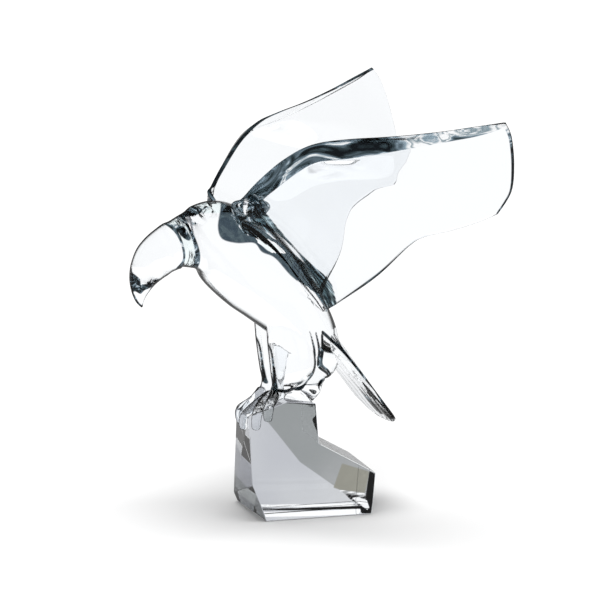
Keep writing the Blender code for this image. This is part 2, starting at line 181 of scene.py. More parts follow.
FLANK_GLEAM = ((-19.0, 121.5), (-9.5, 119.0), (1.0, 110.5), (-5.0, 110.0), (-12.0, 112.5))
ROOT_BAND = ((-26.4, 137.6), (-20.2, 133.2), (-11.7, 128.0), (-3.6, 121.8), (5.4, 114.0), (13.6, 104.2),
             (21.0, 93.2), (30.2, 77.2), (40.6, 61.8), (45.0, 62.0), (39.0, 77.4), (33.0, 88.6),
             (21.1, 99.6), (8.3, 112.8), (-4.8, 127.5), (-14.9, 139.1), (-22.0, 146.0))
SHOULDER = ((-36.0, 146.0), (-31.5, 150.0), (-25.0, 153.5), (-18.5, 151.5), (-15.5, 146.5), (-19.5, 140.5),
            (-25.0, 137.2), (-29.8, 141.0))
NAPE_SHADE = ((-82.0, 133.5, 1.6), (-71.0, 138.6, 2.8), (-61.0, 141.0, 2.6), (-55.5, 142.0, 0.8))
NAPE_STRIP = ((-60.0, 142.5, 2.6), (-48.0, 143.5, 3.6), (-36.0, 142.5, 3.2))
LIP_LINE = ((-30.0, 152.8, 0.7), (-31.7, 142.8, 1.0), (-25.2, 134.5, 1.1), (-10.3, 126.3, 1.2),
            (1.4, 116.9, 1.1), (14.8, 101.8, 0.9), (39.3, 61.7, 0.6))
THIGH_ARC = ((-7.1, 10.9, 1.0), (-4.2, 6.0, 1.1), (4.8, 3.2, 1.2), (11.9, 4.0, 1.7), (20.3, 4.5, 2.0),
             (26.0, 10.8, 1.7), (30.1, 19.8, 1.4), (29.5, 30.5, 0.9), (25.9, 41.5, 0.6), (23.2, 48.4, 0.4))
FAR_LEG_LINE = ((-7.2, 44.7, 0.3), (-3.6, 33.8, 0.5), (-1.6, 20.2, 0.6), (-0.2, 9.4, 1.2), (0.5, 6.0, 1.4))
LEG_LINES = (((-9.5, 49.8, 0.3), (-5.4, 38.9, 0.4), (-4.7, 25.5, 0.4), (-5.4, 10.8, 0.5)),
             ((28.4, 46.8, 0.6), (32.6, 33.0, 0.9), (34.7, 19.5, 1.0), (42.5, 12.2, 0.8), (45.3, 8.5, 0.7)),
             ((34.0, 43.6, 0.9), (35.4, 32.8, 1.3), (36.2, 20.7, 1.1), (42.5, 14.8, 0.8), (47.5, 8.4, 0.8)),
             ((42.5, 7.4, 1.2), (36.9, 5.9, 1.6), (34.7, 1.4, 0.6)))
TAIL_LINES = (((34.4, 46.1, 1.2), (45.7, 35.9, 1.2), (54.2, 25.8, 0.9), (65.5, 10.1, 0.8),
               (74.1, -0.1, 1.0)),
              ((44.5, 66.0, 0.5), (46.5, 55.0, 0.7), (46.8, 46.0, 0.7), (47.0, 38.5, 0.6), (57.0, 22.9, 0.9),
               (68.3, 8.5, 0.5), (75.5, -0.2, 0.6)),
              ((73.8, 0.8, 1.6), (80.5, -8.0, 3.2), (88.1, -17.9, 2.8)),
              ((57.4, 10.7, 0.4), (65.8, 0.6, 0.4), (84.4, -21.2, 0.5)))

# How many short stretches a smooth run gets for each of its points
ROUNDED_STRETCHES = 5
CURVED_STRETCHES = 4

# Which part of the casting a point is on: it is on a wing when it is this near the wing's form, the painted
# reflections of the flank and the crown end at these y, and the head ends at this x
ON_WING = 1.5
FLANK_END = -4.0
CROWN_END = 2.0
HEAD_END = -85.0

# Added to a depth, or put in its place, where a painted reflection is left out
WRONG_SIDE = -50.0
UNMARKED = -9.0

# Width of the painted dark rim along each edge of a wing, and of the painted dark border of the root band
# outside and inside its outline
TIP_RIM = 2.0
TRAIL_RIM = 2.6
TRAIL_RIM_OUTER = -1.0
LEAD_RIM = 0.9
FAR_LEAD_RIM = 2.2
ROOT_BORDER_OUT = 0.3
ROOT_BORDER_IN = 1.4

# Painted reflection streaks: how far one runs along and across a wing's edge, the root band and the rest of
# the bird
STREAK_LENGTH = 34.0
STREAK_WIDTH = 6.0
ROOT_STREAK_LENGTH = 24.0
ROOT_STREAK_WIDTH = 3.5
ROOT_STREAK_BACK = 0.62
ROOT_STREAK_DOWN = 0.78
BODY_STREAK = 8.0
FINE_STREAK = 3.5

# Painted reflection streaks: depth outside a painted reflection at which its own streaks begin, and how much
# lighter or darker they are
NEAR_ROOT = -2.0
NEAR_SHOULDER = -1.0
LOW_TOP = 60.0
LOW_LIGHT = -0.14
HEAD_LIGHT = -0.10
RIM_LIGHT = -0.12
LEAD_BAND = 22.0
OUTER_LIGHT = 0.14
OUTER_START = 145.0
OUTER_SPAN = 20.0

# Where the painted dark outline begins, from 0 where the glass faces the eye to 1 where it is seen edge on. On
# the body this goes by height, and it begins later behind the heels and on the tail
OUTLINE_SPAN = 0.2
OUTLINE_ON_WING = 0.70
OUTLINE_ON_ROCK = 0.88
OUTLINE_BY_HEIGHT = ((-2.0, 8.0, 40.0, 60.0), (0.46, 0.46, 0.42, 0.54))
HEEL_LATER_BY_X = ((12.0, 22.0), (0.0, 0.3))
HEEL_LATER_BY_HEIGHT = ((8.0, 16.0), (1.0, 0.0))
TAIL_LATER = 0.4
TAIL_LATER_START = 42.0
TAIL_LATER_SPAN = 6.0
TAIL_LATER_TOP = 46.0

# Painted reflections of the studio on the rock's near face, with a painted highlight, in its own frame seen
# from the side: x, z and for lines a half width
ROCK_DEEP = ((-45.4, 80.3), (-34.7, 66.9), (-16.5, 43.1), (14.2, 19.9), (25.7, 9.3), (48.0, 9.3),
             (48.0, 95.0), (-45.4, 95.0))
ROCK_OLIVE = ((15.6, 39.9), (9.2, 22.1), (13.7, 20.2), (33.3, 16.1), (36.7, 32.3))
ROCK_CORNER = ((17.9, 16.6), (25.7, 15.6), (33.7, 12.8), (36.7, 32.9), (43.0, 29.0), (41.0, -1.0),
               (30.9, 0.8), (29.3, 7.1), (21.5, 12.6))
ROCK_GLEAM = ((21.8, 14.4), (28.8, 13.2), (34.8, 10.8), (37.1, 4.1), (35.4, 3.1), (27.2, 9.9))
ROCK_WEDGE = ((-4.3, 77.6), (-7.3, 74.8), (-2.0, 60.0))
ROCK_BLACK_LINES = (((-50.5, 9.8, 0.7), (-16.5, 7.5, 0.9), (29.3, 5.6, 1.2)),
                    ((-26.4, 88.3, 0.4), (-4.6, 85.8, 0.9)), ((-4.6, 86.3, 0.7), (-2.0, 60.9, 0.5)),
                    ((-54.8, 64.0, 0.5), (-52.3, 13.2, 0.5)))
ROCK_CLEAR_LINES = (((-52.0, 12.6, 0.9), (2.7, 9.0, 1.0), (23.4, 8.3, 1.2)),
                    ((-50.0, 5.6, 2.0), (2.7, 2.9, 2.0), (28.0, 2.3, 2.2)),
                    ((13.7, 19.6, 0.5), (33.1, 15.2, 0.9)))

# The rock's left facet carries a painted grey reflection up to one height, which clears over a span above
# another
FRONT_DEEP_TOP = 22.0
FRONT_CLEAR_START = 44.0
FRONT_CLEAR_SPAN = 8.0
ALL_CLEAR = 9.0

# What tells the rock's faces apart: parts of their outward normals, and the x where the low step begins
NEAR_FACING = -0.97
FOOT_FACING = -0.8
FAR_FACING = 0.5
FRONT_FACING = -0.8
TREAD_FACING = 0.5
TREAD_START = -1.0
UNDERSIDE_FACING = -0.9

# Half width of the soft border of each painted reflection and highlight
SOFT = {"pale": 0.5, "grey": 0.6, "band": 0.5, "dark": 0.35, "lip": 0.3,
        "deep": 0.6, "olive": 0.6, "clear": 0.3, "black": 0.3}

# Colours seen through the glass, the painted reflections and highlights of the studio, and the painted dark
# outline
CLEAR_TONE = "fbfcfd"
PALE_TONE = "f1f9f9"
OUTLINE_TONE = "0c0f10"
PATCH_TONES = ("3f4c56", "56646a")
STREAK_TONES = ((0.36, "13181c"), (0.45, "364348"), (0.54, "61707a"), (0.61, "91a4af"), (0.66, "f9f9f9"),
                (0.70, "7d9099"), (0.79, "f9f9f9"))
BAND_TONES = ((0.36, "3f4c51"), (0.48, "69787b"), (0.60, "97a9af"), (0.70, "d4eef9"))
ROCK_LIGHT_TONES = ("bfc1c7", "d1d3d6")
ROCK_DEEP_TONES = ("969a9b", "a8aaab")
ROCK_OLIVE_TONE = "96958b"
ROCK_CLEAR_TONE = "fafbfc"
ROCK_BLACK_TONE = "050607"

# Refractive index: lead crystal's own for the rock, and a lower one that keeps the bird's inside calm
BIRD_INDEX = 1.38
ROCK_INDEX = 1.545

# Light: what the crystal sees behind, before and beside it, and what the camera sees
BACK_WALL = 1.47
FRONT_WALL = 0.5
WALL_START = 0.16
WALL_FULL = 0.36
DARK = 0.03
BACKDROP = 1.1
AMBIENT = 0.5
GLOSS = 0.12
TABLE_GLOW = 1.08
TABLE_SEEN = 0.05
TABLE_WHITE = 0.8
TABLE_MIRRORED = 0.2
TABLE_ROUGHNESS = 0.9
TABLE_REACH = 30.0
TABLE_TOP = -0.0005
OVERHEAD_STRENGTH = 3.0
OVERHEAD_SPREAD = math.radians(42.0)
OVERHEAD_HEIGHT = 2.0

# Camera of the photograph: 22 degrees off the bird's side, 12 degrees up, from 4.5 m
CAMERA_AZIMUTH = math.radians(-22.0)
CAMERA_ELEVATION = math.radians(12.0)
CAMERA_DISTANCE = 4.5
CAMERA_TARGET = Vector((-0.00476, 0.0, 0.15554))
CAMERA_LENS = 367.3
CAMERA_SENSOR = 36.0


def even(count):
    """Evenly spread shares from 0 to 1."""
    return np.linspace(0.0, 1.0, count)


def close_at_ends(count):
    """Shares from 0 to 1 that crowd together at both ends, for rounded rims."""
    return 0.5 - 0.5 * np.cos(math.pi * even(count))


def smooth_rows(rows, shares):
    """Rows of numbers read at shares (0 to 1) along a smooth curve through them."""
    rows = np.array(rows, float)
    places = np.asarray(shares) * (len(rows) - 1.0)
    first = np.clip(np.floor(places).astype(int), 0, len(rows) - 2)
    share = (places - first)[:, None]
    before = rows[np.maximum(first - 1, 0)]
    start = rows[first]
    end = rows[first + 1]
    after = rows[np.minimum(first + 2, len(rows) - 1)]
    leave = 0.5 * (end - before)
    arrive = 0.5 * (after - start)
    return ((2 * share ** 3 - 3 * share ** 2 + 1) * start + (share ** 3 - 2 * share ** 2 + share) * leave
            + (3 * share ** 2 - 2 * share ** 3) * end + (share ** 3 - share ** 2) * arrive)


def body_rings(sides, count):
    shares = even(count)
    turn = np.linspace(0.0, 2.0 * math.pi, sides, endpoint=False)
    rings = []
    for share, (top_x, top_z, low_x, low_z, half) in zip(shares, smooth_rows(BODY, shares)):
        place = share * (len(BODY) - 1)
        groove = 1.0 - COLLAR_DEPTH * math.exp(-((place - COLLAR_STATION) / COLLAR_SPAN) ** 6)
        middle = np.array(((top_x + low_x) / 2, 0.0, (top_z + low_z) / 2))
        rise = np.array(((top_x - low_x) / 2, 0.0, (top_z - low_z) / 2)) * groove
        rings.append([middle + rise * math.cos(a) + np.array((0.0, half * groove * math.sin(a), 0.0))
                      for a in turn])
    return rings


def softer_of(one, other, blend):
    """The smaller of two thicknesses, with a rounded change from one to the other."""
    share = np.clip(0.5 + 0.5 * (other - one) / blend, 0.0, 1.0)
    return other * (1.0 - share) + one * share - blend * share * (1.0 - share)


def fade(distance, span):
    """1 at an edge, falling smoothly to 0 at a distance of span."""
    share = np.clip(distance / span, 0.0, 1.0)
    return (1.0 - share) ** 2 * (1.0 + 2.0 * share)


def wing_rings(side, across, along):
    """Closed sections of one wing from its root to its tip; side is 1 or -1 in y."""
    along_shares = close_at_ends(along)
    across_shares = close_at_ends(across)
    lead, lead_edge = np.split(smooth_rows(WING_LEAD, along_shares), (3,), axis=1)
    root, root_edge = np.split(smooth_rows(WING_ROOT, across_shares), (3,), axis=1)
    trail = smooth_rows(WING_TRAIL, along_shares)
    tip = smooth_rows(WING_TIP, across_shares)
    s = along_shares[:, None, None]
    t = across_shares[None, :, None]
    back = ((1 - t) * lead[:, None] + t * trail[:, None] + (1 - s) * root[None] + s * tip[None]
            - (1 - s) * (1 - t) * lead[0] - (1 - s) * t * trail[0]
            - s * (1 - t) * lead[-1] - s * t * trail[-1])
    normal = np.cross(np.gradient(back, along_shares, axis=0), np.gradient(back, across_shares, axis=1))
    normal /= np.linalg.norm(normal, axis=2, keepdims=True)
    chord = np.linalg.norm(np.diff(back, axis=1), axis=2)
    from_lead = np.concatenate([np.zeros((along, 1)), np.cumsum(chord, axis=1)], axis=1)
    to_trail = from_lead[:, -1:] - from_lead
    span = np.linalg.norm(np.diff(back, axis=0), axis=2)
    from_root = np.concatenate([np.zeros((1, across)), np.cumsum(span, axis=0)], axis=0)
    to_tip = from_root[-1:] - from_root
    at_lead = np.maximum(lead_edge - WING_SHEET, 0.0) * fade(from_lead, WING_SWELL)
    at_root = np.maximum(root_edge.T - WING_SHEET, 0.0) * fade(from_root, WING_SWELL)
    thick = WING_SHEET + (at_lead ** 3 + at_root ** 3) ** (1 / 3)
    for distance in (from_lead, from_root, to_trail, to_tip):
        face = np.sqrt((WING_EDGE_SLANT * distance) ** 2 + 8.0 * WING_EDGE_NOSE * distance)
        thick = softer_of(face, thick, WING_CORNER)
    thick = np.maximum(thick, WING_RIM)
    flush = np.minimum(0.5 * thick, 0.5 * WING_SHEET)[:, :, None]
    inner = back - normal * flush
    outer = inner + normal * thick[:, :, None]
    flip = np.array((1.0, side, 1.0))
    # Painted dark reflections: a band along the near wing's leading edge and root and dark rims along its
    # edges; the far wing gets only a rim along its leading edge
    band = np.maximum(0.5 * lead_edge - from_lead, 0.5 * root_edge.T - from_root)
    outwards = along_shares[:, None]
    trail_rim = TRAIL_RIM * (1.0 - outwards) + TRAIL_RIM_OUTER * outwards - to_trail
    near_rim = np.maximum(np.maximum(LEAD_RIM - from_lead, trail_rim), TIP_RIM - to_tip)
    shown = (np.maximum(band, near_rim), near_rim) if side < 0 else (FAR_LEAD_RIM - from_lead,) * 2
    marks = [np.stack([depth, from_root, from_lead], axis=2) for depth in shown]
    return ([[point * flip for point in list(outer[k]) + list(inner[k, ::-1])] for k in range(along)],
            [list(marks[0][k]) + list(marks[1][k, ::-1]) for k in range(along)])


def level_rings(levels, side, sides, count):
    """Flat oval rings stacked down a leg or a foot."""
    turn = np.linspace(0.0, 2.0 * math.pi, sides, endpoint=False)
    return [[(x + deep * math.cos(a), side * out + wide * math.sin(a), z) for a in turn]
            for z, x, deep, wide, out in smooth_rows(levels, even(count))]


def tail_rings(sides, count):
    rows = smooth_rows(TAIL, even(count))
    turn = np.linspace(0.0, 2.0 * math.pi, sides, endpoint=False)
    run = np.gradient(rows[:, :2], axis=0)
    run /= np.linalg.norm(run, axis=1, keepdims=True)
    rings = []
    for (x, z, half, thick), (run_x, run_z) in zip(rows, run):
        ring = []
        for a in turn:
            flute = 1.0 - TAIL_FLUTE_DEPTH * (0.5 - 0.5 * math.cos(math.pi * TAIL_FLUTES * math.cos(a)))
            up = thick * flute * math.copysign(abs(math.sin(a)) ** TAIL_SQUARENESS, math.sin(a))
            ring.append((x - run_z * up, half * math.cos(a), z + run_x * up))
        rings.append(ring)
    return rings


def tube_rings(path, radius, end_radius, sides, count):
    """Round sections along a toe, from the ankle to the claw's blunt tip."""
    shares = 1.0 - (1.0 - even(count)) ** TOE_CROWDING
    points = smooth_rows(path, shares)
    run = np.gradient(points, axis=0)
    run /= np.linalg.norm(run, axis=1, keepdims=True)
    across = np.cross(run, (0.0, 0.0, 1.0))
    across = np.cross(run, np.cross(across.mean(axis=0), run))
    across /= np.linalg.norm(across, axis=1, keepdims=True)
    other = np.cross(run, across)
    turn = np.linspace(0.0, 2.0 * math.pi, sides, endpoint=False)
    rings = []
    for k, share in enumerate(shares):
        into_claw = max(0.0, (share - CLAW_START) / (1.0 - CLAW_START))
        blunt = math.sqrt(1.0 - CLAW_BLUNTNESS * into_claw ** 3)
        size = (radius + (end_radius - radius) * share ** 2) * blunt
        rings.append([points[k] + size * (across[k] * math.cos(a) + other[k] * math.sin(a)) for a in turn])
    return rings


def add_object(name, mesh):
    item = bpy.data.objects.new(name, mesh)
    bpy.context.scene.collection.objects.link(item)
    return item


def skin(name, rings):
    """A closed object whose skin runs over rings of points in the bird's frame."""
    mesh = bpy.data.meshes.new(name)
    shell = bmesh.new()
    loops = [[shell.verts.new((Vector(point) + PERCH) * MM) for point in ring] for ring in rings]
    sides = len(rings[0])
    for low, high in zip(loops, loops[1:]):
        for k in range(sides):
            n = (k + 1) % sides
            shell.faces.new((low[k], low[n], high[n], high[k]))
    shell.faces.new(loops[0][::-1])
    shell.faces.new(loops[-1])
    bmesh.ops.recalc_face_normals(shell, faces=shell.faces)
    bmesh.ops.triangulate(shell, faces=[face for face in shell.faces if len(face.verts) > 4])
    shell.to_mesh(mesh)
    shell.free()
    return add_object(name, mesh)


def rock_seat():
    """The rock, moved up and along x by the bond line, that the feet are cut to."""
    mesh = bpy.data.meshes.new("rock_seat")
    solid = bmesh.new()
    solid.from_mesh(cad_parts["rock_base"].data)
    bmesh.ops.remove_doubles(solid, verts=solid.verts, dist=WELD)
    bmesh.ops.translate(solid, verts=solid.verts, vec=(-BOND_GAP * MM, 0.0, BOND_GAP * MM))
    solid.to_mesh(mesh)
    solid.free()
    return add_object("rock_seat", mesh)


def to_line(points, ends):
    """Distance of each point from a run of straight stretches, and the run's own value there."""
    best = np.full(len(points), 1e9)
    value = np.zeros(len(points))
    for a, b in zip(ends[:-1], ends[1:]):
        run = b[:2] - a[:2]
        share = np.clip(((points - a[:2]) @ run) / (run @ run), 0.0, 1.0)
        gap = np.linalg.norm(points - (a[:2] + share[:, None] * run), axis=1)
        nearer = gap < best
        best = np.where(nearer, gap, best)
        value = np.where(nearer, a[-1] + share * (b[-1] - a[-1]), value)
    return best, value


def line_depth(points, line):
    """How deep each point lies inside a line that has a half width at each end of its stretches."""
    gap, half = to_line(points, np.array(line, float))
    return half - gap


def area_depth(points, outline):
    """How deep each point lies inside a closed outline; negative outside it."""
    ends = np.vstack([outline, outline[:1]]).astype(float)
    gap, unused = to_line(points, ends)
    inside = np.zeros(len(points), bool)
    for a, b in zip(ends[:-1], ends[1:]):
        crosses = (a[1] > points[:, 1]) != (b[1] > points[:, 1])
        reach = a[0] + (points[:, 1] - a[1]) * (b[0] - a[0]) / (b[1] - a[1] + 1e-12)
        inside ^= crosses & (points[:, 0] < reach)
    return np.where(inside, gap, -gap)


def rounded(outline):
    """A closed outline with its corners turned into one smooth run of short stretches."""
    loop = np.array(outline[-1:] + outline + outline[:2], float)
    places = np.linspace(0.0, len(outline), ROUNDED_STRETCHES * len(outline) + 1)[:-1]
    return smooth_rows(loop, (1.0 + places) / (len(loop) - 1))


def curved(line):
    """A line of points, with their half widths, as one smooth run of short stretches."""
    return smooth_rows(line, even(CURVED_STRETCHES * len(line)))


def most(*depths):
    """The greatest of several depths at each point."""
    return np.max(np.stack(depths), axis=0)


def image_depth(points, outline):
    return area_depth(points, rounded(outline))


def lines_depth(points, lines):
    return most(*(line_depth(points, curved(line)) for line in lines))


def store(mesh, name, values, domain="POINT"):
    """Writes one number for each point, or for each face's corners, where the materials can read it."""
    layer = mesh.attributes.new(name, "FLOAT", domain)
    layer.data.foreach_set("value", np.asarray(values, np.float32))


def mark_images(mesh, side, flank, crown, root, shoulder, on_wing, wing_dark):
    """Writes how deep each point lies in the painted dark, grey, pale and banded reflections of the studio and
    in the painted bright highlight along the lip.
    """
    # Painted reflections of the studio, with a painted highlight (gleam) inside the grey flank patch
    gleam = image_depth(side, FLANK_GLEAM) + flank
    dark = most(lines_depth(side, (COLLAR_FRONT_LINE, COLLAR_BACK_LINE, NAPE_SHADE)) + crown,
                image_depth(side, COLLAR_BLOTCH) + crown,
                image_depth(side, CERE) + crown,
                lines_depth(side, (*BEAK_LINES, FAR_LEG_LINE)),
                lines_depth(side, (THIGH_ARC, *LEG_LINES, *TAIL_LINES)) + flank)
    grey = np.minimum(image_depth(side, FLANK_PATCH) + flank, -gleam)
    pale = most(area_depth(side, COLLAR_BAND) + crown, lines_depth(side, (NAPE_STRIP,)) + crown, gleam)
    border = np.minimum(root + ROOT_BORDER_OUT, ROOT_BORDER_IN - root)
    store(mesh, "dark", most(np.where(on_wing, wing_dark, dark), shoulder, border))
    store(mesh, "grey", np.where(on_wing & (grey < 0.0), UNMARKED, grey))
    store(mesh, "pale", np.where(on_wing & (pale < 0.0), UNMARKED, pale))
    store(mesh, "band", root)
    # A painted highlight along the lip of the wing's root
    store(mesh, "lip", lines_depth(side, (LIP_LINE,)) + flank)


def mark_streaks(mesh, spots, root, shoulder, on_wing, from_root, from_lead):
    """Writes each point's place along and across the painted dark reflection streaks, and how much lighter
    they are there.
    """
    x = spots[:, 0]
    z = spots[:, 2]
    head = x < HEAD_END
    at_root = root > NEAR_ROOT
    sprung = on_wing & ~at_root & (shoulder < NEAR_ROOT)
    low = ~sprung & ~at_root & (z < LOW_TOP)
    streaking = np.where(head | (shoulder > NEAR_SHOULDER), FINE_STREAK, BODY_STREAK)
    along = np.where(at_root, (ROOT_STREAK_BACK * x - ROOT_STREAK_DOWN * z) / ROOT_STREAK_LENGTH, x / streaking)
    across = np.where(at_root, (ROOT_STREAK_DOWN * x + ROOT_STREAK_BACK * z) / ROOT_STREAK_WIDTH, z / streaking)
    rim_only = (spots[:, 1] > 0.0) | (from_lead > LEAD_BAND)
    outward = OUTER_LIGHT * np.clip((from_root - OUTER_START) / OUTER_SPAN, 0.0, 1.0)
    wing_light = np.where(rim_only, RIM_LIGHT, outward)
    body_light = np.where(head, HEAD_LIGHT, np.where(low, LOW_LIGHT, 0.0))
    store(mesh, "streak_along", np.where(sprung, from_root / STREAK_LENGTH, along))
    store(mesh, "streak_across", np.where(sprung, from_lead / STREAK_WIDTH, across))
    store(mesh, "streak_light", np.where(sprung, wing_light, body_light))


def mark_outline(mesh, side, on_wing):
    """Writes where the painted dark outline begins at each point."""
    by_height = np.interp(side[:, 1], *OUTLINE_BY_HEIGHT)
    heel = np.interp(side[:, 0], *HEEL_LATER_BY_X) * np.interp(side[:, 1], *HEEL_LATER_BY_HEIGHT)
    into_tail = np.clip((side[:, 0] - TAIL_LATER_START) / TAIL_LATER_SPAN, 0.0, 1.0)
    tail = TAIL_LATER * into_tail * (side[:, 1] < TAIL_LATER_TOP)
    store(mesh, "edge", np.where(on_wing, OUTLINE_ON_WING, by_height + np.maximum(heel, tail)))


def mark_casting(mesh, marks):
    """Writes what the material reads on the bird, where its painted reflections and painted dark outline lie;
    the wings' forms bring their own marks along.
    """
    spots = np.empty(len(mesh.vertices) * 3)
    mesh.vertices.foreach_get("co", spots)
    spots = spots.reshape(-1, 3) / MM - np.array(PERCH)
    tree = KDTree(len(marks))
    for k, (point, mark) in enumerate(marks):
        tree.insert(point, k)
    tree.balance()
    found = [tree.find(point) for point in spots]
    on_wing = np.array([gap < ON_WING for near, index, gap in found])
    wing_dark, from_root, from_lead = np.array([marks[index][1] for near, index, gap in found]).T
    side = spots[:, [0, 2]]
    flank = np.where(spots[:, 1] < FLANK_END, 0.0, WRONG_SIDE)
    crown = np.where(spots[:, 1] < CROWN_END, 0.0, WRONG_SIDE)
    root = image_depth(side, ROOT_BAND) + flank
    shoulder = image_depth(side, SHOULDER) + flank
    mark_images(mesh, side, flank, crown, root, shoulder, on_wing, wing_dark)
    mark_streaks(mesh, spots, root, shoulder, on_wing, from_root, from_lead)
    mark_outline(mesh, side, on_wing)


def linear(code):
    """An sRGB hex colour as linear RGB."""
    shares = [int(code[k:k + 2], 16) / 255.0 for k in (0, 2, 4)]
    return tuple(c / 12.92 if c <= 0.04045 else ((c + 0.055) / 1.055) ** 2.4 for c in shares)


def node(tree, kind, settings=None, **inputs):
    """Adds a node with its settings; an input is a plain value or another node's output socket."""
    item = tree.nodes.new(kind)
    for key, value in (settings or {}).items():
        setattr(item, key, value)
    for key, value in inputs.items():
        socket = item.inputs[int(key[1:]) if key[0] == "i" and key[1:].isdigit() else key.replace("_", " ")]
        if isinstance(value, bpy.types.NodeSocket):
            tree.links.new(value, socket)
        else:
            socket.default_value = value
    return item


def step(tree, value, low, high, start=0.0, end=1.0):
    """A smooth change from start to end while a value goes from low to high."""
    return node(tree, "ShaderNodeMapRange", {"interpolation_type": "SMOOTHSTEP"}, Value=value, From_Min=low,
                From_Max=high, To_Min=start, To_Max=end).outputs["Result"]


def blend(tree, share, one, other):
    one, other = [(*linear(c), 1.0) if isinstance(c, str) else c for c in (one, other)]
    return node(tree, "ShaderNodeMix", {"data_type": "RGBA"}, i0=share, i6=one, i7=other).outputs[2]


def attribute(tree, name):
    return node(tree, "ShaderNodeAttribute", {"attribute_name": name}).outputs["Fac"]


def inside(tree, name):
    """1 inside one of the stored images and 0 outside it, over its soft border."""
    return step(tree, attribute(tree, name), -SOFT[name], SOFT[name])


def ramp(tree, value, stops):
    """The colours of a few stops, blended by a value."""
    item = node(tree, "ShaderNodeValToRGB", i0=value)
    while len(item.color_ramp.elements) < len(stops):
        item.color_ramp.elements.new(0.5)
    for element, (place, code) in zip(item.color_ramp.elements, stops):
        element.position = place
        element.color = (*linear(code), 1.0)
    return item.outputs["Color"]


def glass(tree, seen, start, index):
    """Clear crystal with a painted dark outline where it is seen edge on. A crossing tints by the root of the
    base colour, hence the square.
    """
    full = node(tree, "ShaderNodeMath", {"operation": "ADD"}, i0=start, i1=OUTLINE_SPAN).outputs[0]
    facing = node(tree, "ShaderNodeLayerWeight", Blend=0.5).outputs["Facing"]
    edged = blend(tree, step(tree, facing, start, full), seen, OUTLINE_TONE)
    squared = node(tree, "ShaderNodeVectorMath", {"operation": "MULTIPLY"}, i0=edged, i1=edged)
    shader = node(tree, "ShaderNodeBsdfPrincipled", Roughness=0.0, IOR=index, Transmission_Weight=1.0,
                  Base_Color=squared.outputs[0])
    out = node(tree, "ShaderNodeOutputMaterial")
    tree.links.new(shader.outputs[0], out.inputs["Surface"])


def material_tree(name):
    material = bpy.data.materials.new(name)
    material.use_nodes = True
    material.node_tree.nodes.clear()
    return material, material.node_tree


def fire_polished_crystal():
    """Lead crystal softened in the flame, with wavy painted reflections of dark studio cards along its thick
    edges.
    """
    material, tree = material_tree("fire_polished_crystal")
    streaking = node(tree, "ShaderNodeCombineXYZ", X=attribute(tree, "streak_along"),
                 Y=attribute(tree, "streak_across")).outputs[0]
    cloud = node(tree, "ShaderNodeTexNoise", {"noise_dimensions": "2D"}, Vector=streaking, Scale=1.0, Detail=2.5,
                 Roughness=0.55, Distortion=1.1).outputs["Fac"]
    lit = node(tree, "ShaderNodeMath", {"operation": "ADD"}, i0=cloud,
               i1=attribute(tree, "streak_light")).outputs[0]
    # Painted reflections: pale strips, a grey flank patch, the root band and dark streaks, and a painted
    # highlight along the lip
    patch = blend(tree, step(tree, cloud, 0.35, 0.65), *PATCH_TONES)
    tone = blend(tree, inside(tree, "pale"), CLEAR_TONE, PALE_TONE)
    tone = blend(tree, inside(tree, "grey"), tone, patch)
    tone = blend(tree, inside(tree, "band"), tone, ramp(tree, cloud, BAND_TONES))
    tone = blend(tree, inside(tree, "dark"), tone, ramp(tree, lit, STREAK_TONES))
    tone = blend(tree, inside(tree, "lip"), tone, CLEAR_TONE)
    glass(tree, tone, attribute(tree, "edge"), BIRD_INDEX)
    return material


def cut_crystal():
    """Lead crystal ground and polished in flat facets, each carrying a painted reflection of a different grey
    of the studio.
    """
    material, tree = material_tree("cut_crystal")
    # Painted reflections of the studio: light and deep greys mottled by noise, olive, clear lines and black
    # lines
    place = node(tree, "ShaderNodeTexCoord").outputs["Object"]
    cloud = node(tree, "ShaderNodeTexNoise", Vector=place, Scale=14.0, Detail=1.0)
    shade = step(tree, cloud.outputs["Fac"], 0.3, 0.7)
    tone = blend(tree, inside(tree, "deep"), blend(tree, shade, *ROCK_LIGHT_TONES),
                 blend(tree, shade, *ROCK_DEEP_TONES))
    tone = blend(tree, inside(tree, "olive"), tone, ROCK_OLIVE_TONE)
    tone = blend(tree, inside(tree, "clear"), tone, ROCK_CLEAR_TONE)
    tone = blend(tree, inside(tree, "black"), tone, ROCK_BLACK_TONE)
    glass(tree, tone, OUTLINE_ON_ROCK, ROCK_INDEX)
    return material


